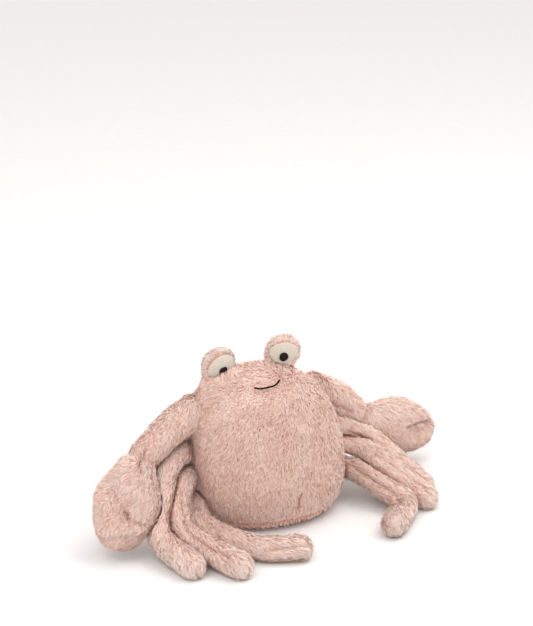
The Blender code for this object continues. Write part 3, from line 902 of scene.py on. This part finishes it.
def settle(skins):
    """Moves the skins as cloth does that starts slack and is filled until it is tight."""
    coarse = [even_skin([*SKIN, "body_stuffing"], CLOTH_WEAVE, CLOTH_BODY_SMOOTHING, PILE_DEPTH)]
    coarse += [even_skin([name], CLOTH_WEAVE, CLOTH_LEG_SMOOTHING, LEG_PILE_DEPTH) for name in leg_names()]
    whole = bmesh.new()
    for mesh in coarse:
        whole.from_mesh(mesh)
    joint = bpy.data.meshes.new("cloth")
    whole.to_mesh(joint)
    whole.free()
    tight = coords(joint)
    outward = point_normals(joint)
    owners = nearest_node([*SKIN, *leg_names()], tight)
    set_coords(joint, tight - outward * SLACK)
    cloth = linked("cloth", joint)
    held = cloth.vertex_groups.new(name="sewn")
    held.add(sewn_points(joint, owners), 1.0, "REPLACE")
    filled = cloth.modifiers.new("filled", "CLOTH")
    filled.settings.quality = 6
    filled.settings.mass = 0.1
    filled.settings.tension_stiffness = 12
    filled.settings.compression_stiffness = 12
    filled.settings.bending_stiffness = 0.3
    filled.settings.use_pressure = True
    filled.settings.uniform_pressure_force = FILL_PRESSURE
    filled.settings.effector_weights.gravity = 0
    filled.settings.vertex_group_mass = "sewn"
    filled.point_cache.frame_end = FILL_FRAMES
    for step in range(1, FILL_FRAMES + 1):
        bpy.context.scene.frame_set(step)
    moved = coords(evaluated(cloth)) - tight
    far = np.linalg.norm(moved, axis=1, keepdims=True)
    moved *= np.minimum(1.0, MOST_SETTLING / np.maximum(far, 1e-9))
    moved = smoothed(joint, moved, 2)
    sunk = np.minimum((moved * outward).sum(1) + MOST_SINKING, 0)
    moved -= outward * sunk[:, None]
    carry(tight, moved, skins)
    bpy.data.objects.remove(cloth)


def sewn_points(mesh, owners):
    """The points where one piece meets the next, and those that rest on the floor."""
    a, b = edge_ends(mesh).T
    apart = owners[a] != owners[b]
    low = np.flatnonzero(coords(mesh)[:, 2] < RESTING_HEIGHT)
    return np.unique(np.concatenate([a[apart], b[apart], low])).tolist()


def carry(places, moved, skins):
    """Moves every skin by what the nearest of these places have moved."""
    tree = point_tree(places)
    for mesh in skins.values():
        points = coords(mesh)
        push = np.zeros_like(points)
        for i, place in enumerate(points.tolist()):
            found = tree.find_n(place, PUSH_NEIGHBOURS)
            weight = np.array([1.0 / (gap + 1e-4) ** 2 for _, _, gap in found])
            push[i] = weight @ moved[[j for _, j, _ in found]] / weight.sum()
        set_coords(mesh, points + smoothed(mesh, push, PUSH_SMOOTHING))


def sewn_pieces(skins):
    """The body, arms, claws and lobes: one skin, cut into its pieces along the seams."""
    names = list(SKIN)
    mesh = skins["body"]
    owner = nearest_node(names, face_middles(mesh))
    painted_shade = np.zeros(len(mesh.vertices))
    for pair, starts in seam_points(mesh, owner, names).items():
        depth, width, dark = SEAMS.get(pair, OTHER_SEAM)
        far = reach_from(mesh, starts)
        set_coords(mesh, coords(mesh) - point_normals(mesh) * (depth * falling(far, width))[:, None])
        # Painted shade along the seam
        painted_shade = np.maximum(painted_shade, dark * line_share(far, width))
    for name in names:
        painted_shade = creased(mesh, name, painted_shade)
    for i, name in enumerate(names):
        part, kept = cut_out(mesh, np.flatnonzero(owner == i))
        sewn_piece(i, name, part, painted_shade[kept], point_normals(mesh)[kept])


def body_flow(name, places, normals):
    """Which way the pile of a body panel lies at these places."""
    flow = np.tile([0.0, FORWARD_COMBING[name], -1.0], (len(places), 1))
    flow[:, 1] += BACKWARD_COMBING * rising(normals[:, 2], LEVEL_START, LEVEL_REACH)
    height = rising(places[:, 2], 0, SIDEWAYS_HEIGHT)
    flow[:, 0] = SIDEWAYS_COMBING * (places[:, 0] - CROWN_PLACE) * height**2
    return flow


def limb_flow(name, part):
    """Which way the pile of an arm, a claw or an eye lobe lies: away from where it is sewn on."""
    low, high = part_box(name)
    sign = 1 if name.endswith("left") else -1
    if name.startswith("arm"):
        start = (sign * ARM_ROOT[0], ARM_ROOT[1], ARM_ROOT[2])
    elif name.startswith("claw"):
        start = (low.x if sign > 0 else high.x, (low.y + high.y) / 2, high.z)
    else:
        start = ((low.x + high.x) / 2, (low.y + high.y) / 2, low.z)
    flow, _ = flow_from(part, nearest_points(part, start))
    if name.startswith("arm"):
        flow[:, 2] -= ARM_DROOP
    return flow


def sewn_piece(i, name, part, painted_shade, normals):
    """One piece of the skin with its pile."""
    title, count, fill = SKIN[name]
    if name.startswith("body"):
        flow = body_flow(name, coords(part), normals)
    else:
        flow = limb_flow(name, part)
    pile = Pile(part, flow, painted_shade)
    pile.normals = normals
    pile.flow = along_skin(flow, normals)
    if name.startswith("eye_lobe"):
        pile.points = pile.points + normals * LOBE_SWELLS[name]
        set_coords(part, pile.points)
        pile.lift -= LOBE_FLATTENING
        clear_patch(pile, "eye_patch" + name[len("eye_lobe"):])
    if name.startswith("body"):
        crown = rising(pile.points[:, 2], CROWN_START, CROWN_REACH)
        pile.length *= 1 - CROWN_TRIM * crown
        pile.lift -= CROWN_FLATTENING * crown
        # Painted light on the crown and towards the base
        pile.tone += CROWN_PAINTED_LIGHT * crown
        pile.tone += BASE_PAINTED_LIGHT * (1 - rising(pile.points[:, 2], 0, BASE_REACH))
    # Painted light and shade: the claws lighter towards the top, darker towards the bottom
    if name.startswith("claw"):
        low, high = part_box(name)
        height = (pile.points[:, 2] - low.z) / (high.z - low.z)
        pile.tone += CLAW_TOP_PAINTED_LIGHT * (height - 0.5)
    if name == "body_front_panel":
        trim_round(pile, "smile_thread", SMILE_TRIM_REACH, SMILE_TRIM_SHARE)
        brows(pile)
    wander, pull, share, light = HABITS[name.split("_")[0]]
    pile.length *= share
    # Painted light: a lighter tone for this kind of piece
    pile.tone += light
    mesh = pile_mesh(title, pile, count, SEED + i, wander=wander, pull=pull)
    finish_piece(title, mesh, PILE, [name])


def clear_patch(pile, node):
    """Leaves out the tufts behind a felt patch and parts them round its rim."""
    middle, along, across, out = patch_frame(node)
    points = coords(nodes[node].data) - middle
    half_along, half_across = np.abs(points @ along).max(), np.abs(points @ across).max()
    off = pile.points - middle
    reach = np.hypot(off @ along / half_along, off @ across / half_across)
    facing = (off @ out > -LOBE_FRONT_DEPTH) & (pile.normals @ out > LOBE_FACING)
    pile.bare[(reach < BARE_SHARE) & facing] = 1.0
    outward = (off @ along)[:, None] * along + (off @ across)[:, None] * across
    rim = falling(reach - 1.0, RIM_WIDTH) * facing
    pile.flow = along_skin(pile.flow * (1 - rim)[:, None] + unit(outward) * rim[:, None], pile.normals)
    # Painted shade round the felt's rim, where the pile parts
    pile.tone -= RIM_PAINTED_SHADE * falling(reach - DARK_RIM_PLACE, DARK_RIM_WIDTH) * facing


def trim_round(pile, node, reach, share):
    """Shortens the tufts near a node that lies on the pile."""
    near = falling(np.maximum(gaps_to(pile.points, [node]) - PILE_DEPTH, 0), reach)
    pile.length *= 1 - (1 - share) * near


def brows(pile):
    """Combs the pile up over the lower edges of the felt ovals."""
    for middle, reach, share in BROWS:
        gap = np.linalg.norm(pile.points - middle, axis=1)
        near = falling(gap, reach) * share
        up = along_skin(np.tile([0.0, 0.0, 1.0], (len(near), 1)), pile.normals)
        pile.flow = along_skin(pile.flow * (1 - near)[:, None] + up * near[:, None], pile.normals)
        pile.lift += BROW_LIFT * near
        pile.length *= 1 + BROW_LENGTH * near


def leg_pieces(skins):
    """The six floppy legs, whose pile runs down to their feet."""
    wander, pull, share, light = HABITS["leg"]
    for i, name in enumerate(leg_names()):
        mesh = skins[name]
        others = [other for other in leg_names() if other != name]
        gaps = gaps_to(coords(mesh), others)
        touching = falling(np.maximum(gaps - LEG_PILE_DEPTH, 0), TOUCH_WIDTH)
        # Painted shade where the leg touches the others
        painted_shade = creased(mesh, name, TOUCH_PAINTED_SHADE * touching)
        sign = 1 if "left" in name else -1
        root = (sign * LEG_ROOT[0], LEG_ROOT[1], LEG_ROOT_HEIGHTS[name.rsplit("_", 1)[1]])
        flow, far = flow_from(mesh, nearest_points(mesh, root))
        pile = Pile(mesh, flow, painted_shade)
        foot = rising(far / far.max(), FOOT_START, FOOT_REACH)
        pile.length *= share + FOOT_LENGTH * foot
        pile.lift += FOOT_LIFT * foot - LEG_FLATTENING
        # Painted light: a lighter tone for the legs, lighter still at the feet
        pile.tone += light + FOOT_PAINTED_LIGHT * foot
        made = pile_mesh(f"{name}_pile", pile, LEG_TUFTS, SEED + 20 + i, wander=wander, pull=pull)
        finish_piece(f"{name}_pile", made, PILE, [name])


def filling():
    """The loose fibre filling inside the body, which no side shows."""
    mesh = remeshed(joined(["body_stuffing"]), FILLING_WEAVE, 2)
    points = coords(mesh)
    lumps = FILLING_INSET - uneven(points, [FILLING_LUMPS])
    set_coords(mesh, points - point_normals(mesh) * lumps[:, None])
    finish_piece("body_filling", mesh, FIBRE, ["body_stuffing"])


def felt_oval(side):
    """The felt oval of an eye: a thin layer with fine fibres that stand off it every way."""
    node = f"eye_patch_{side}"
    mesh = remeshed(joined([node]), FELT_WEAVE, 2)
    points = coords(mesh)
    set_coords(mesh, points + point_normals(mesh) * uneven(points, FELT_PATCHES)[:, None])
    ways = np.stack([patches(points, FIBRE_PATCH, salt) for salt in (6, 7, 8)], 1)
    name = f"{node}_felt"
    made = pile_mesh(name, Pile(mesh, ways), FELT_FIBRES, SEED + 40, FIBRE_LENGTH, FIBRE_WIDTH, FIBRE_WANDER)
    finish_piece(name, made, FELT, [node])


def tube_along(route, radius, sides, mesh):
    """Adds a closed tube of this radius along a route to a bmesh."""
    route = np.array(route)
    heading = unit(np.gradient(route, axis=0))
    first = unit(np.cross(heading, [0.13, 1.0, 0.21]))
    second = np.cross(heading, first)
    rings = []
    for place, u, v in zip(route, first, second):
        turn = [2 * math.pi * k / sides for k in range(sides)]
        rings.append([mesh.verts.new(place + radius * (math.cos(t) * u + math.sin(t) * v)) for t in turn])
    for low, high in zip(rings[:-1], rings[1:]):
        for k in range(sides):
            after = (k + 1) % sides
            mesh.faces.new((low[k], low[after], high[after], high[k]))
    mesh.faces.new(rings[0][::-1])
    mesh.faces.new(rings[-1])


def threads(name, routes, radius, sides, replaced):
    """A piece made of dark threads along these routes."""
    work = bmesh.new()
    for route in routes:
        tube_along(route, radius, sides, work)
    bmesh.ops.recalc_face_normals(work, faces=work.faces)
    mesh = bpy.data.meshes.new(name)
    work.to_mesh(mesh)
    work.free()
    mesh.polygons.foreach_set("use_smooth", [True] * len(mesh.polygons))
    finish_piece(name, mesh, THREAD, replaced)


def pupil(side):
    """A round of satin stitch: threads side by side that dip into the felt at both ends."""
    node = f"pupil_{side}"
    middle, along, across, out = patch_frame(node)
    reach = np.abs((coords(nodes[node].data) - middle) @ along).max()
    top = BVHTree.FromPolygons(*polygons_of(nodes[node].data))
    count = int(2 * reach / STITCH_SPACING)
    routes = []
    for k in range(count):
        aside = (k + 0.5) / count * 2 * reach - reach
        half = math.sqrt(reach**2 - aside**2) + STITCH_UNEVENNESS * math.sin(STITCH_RHYTHM * k)
        route = []
        for share in np.linspace(-1, 1, STITCH_POINTS):
            place = middle + along * aside + across * share * half
            above = Vector(place + out * 0.01)
            hit = top.find_nearest(above)[0]
            height = (np.array(hit) - middle) @ out
            end = float(rising(abs(share), STITCH_DIP_START, 1 - STITCH_DIP_START))
            route.append(place + out * (height - STITCH_RADIUS * STITCH_SEAT - STITCH_DIP * end**2))
        routes.append(route)
    threads(f"{node}_stitches", routes, STITCH_RADIUS, 6, [node])


def smile():
    """The smile: one thread of two plies, laid down into the pile."""
    points = coords(nodes["smile_thread"].data)
    ends = points[:, 0].min(), points[:, 0].max()
    slices = np.linspace(*ends, SMILE_SLICES + 1)
    owner = np.clip(np.digitize(points[:, 0], slices) - 1, 0, SMILE_SLICES - 1)
    line = np.array([points[owner == k].mean(0) for k in np.unique(owner)])
    steps = np.concatenate([[0], np.cumsum(np.linalg.norm(np.diff(line, axis=0), axis=1))])
    spots = np.linspace(0, steps[-1], SMILE_POINTS)
    line = np.stack([np.interp(spots, steps, line[:, k]) for k in range(3)], 1)
    line = evened(line, *SMILE_EVENING, mode="reflect", reflect_type="odd")
    heading = unit(np.gradient(line, axis=0))
    outward = unit(np.cross(heading, np.cross([0.0, -1.0, 0.35], heading)))
    aside = np.cross(heading, outward)
    sunk = line - outward * SMILE_SINK
    routes = []
    for phase in (0.0, math.pi):
        turn = (2 * math.pi * spots / PLY_PITCH + phase)[:, None]
        routes.append(sunk + PLY_OFFSET * (np.cos(turn) * outward + np.sin(turn) * aside))
    threads("smile_stitch", routes, PLY_RADIUS, 7, ["smile_thread"])


def camera():
    """The camera at the photograph's place."""
    data = bpy.data.cameras.new("camera")
    data.lens = CAMERA_LENS
    data.clip_start = 0.05
    data.clip_end = 40
    made = linked("camera", data)
    made.location = CAMERA_PLACE
    made.rotation_euler = (math.radians(90 - CAMERA_DROP), 0, math.radians(CAMERA_TURN))
    bpy.context.scene.camera = made


def area_light(name, place, target, size, power):
    """A soft square light at place that looks at target."""
    data = bpy.data.lights.new(name, "AREA")
    data.size = size
    data.energy = power
    made = linked(name, data)
    made.location = place
    made.rotation_euler = (Vector(target) - Vector(place)).to_track_quat("-Z", "Y").to_euler()


def studio():
    """A white floor, a warm white surround and soft lights from above."""
    bpy.ops.mesh.primitive_plane_add(size=2 * FLOOR_HALF_SIZE)
    floor = bpy.context.object
    floor.name = "floor"
    paper = grained_material("paper", 0.9, 60.0, 0.0001, (0.83, 0.83, 0.83), (0.85, 0.85, 0.85))
    floor.data.materials.append(paper)
    world = bpy.data.worlds.new("surround")
    world.use_nodes = True
    background = world.node_tree.nodes["Background"]
    background.inputs["Color"].default_value = SURROUND_COLOUR
    background.inputs["Strength"].default_value = SURROUND_STRENGTH
    bpy.context.scene.world = world
    for name, place, size, power in LIGHTS:
        area_light(name, place, LIGHT_TARGET, size, power)
    bpy.context.scene.view_settings.view_transform = "Standard"


camera()
studio()
PILE = pile_material("pile_fabric", PILE_TONES, PILE_SHADES)
FELT = pile_material("cream_felt", FELT_TONES, FELT_SHADES)
THREAD = grained_material("dark_thread", 0.7, 2500.0, 0.0002, (0.004, 0.002, 0.003), (0.022, 0.012, 0.013))
FIBRE = grained_material("fibre_filling", 0.95, 180.0, 0.0008, (0.74, 0.74, 0.72), (0.88, 0.88, 0.86))
skins = all_skins()
sewn_pieces(skins)
leg_pieces(skins)
filling()
for side in ("right", "left"):
    felt_oval(side)
    pupil(side)
smile()
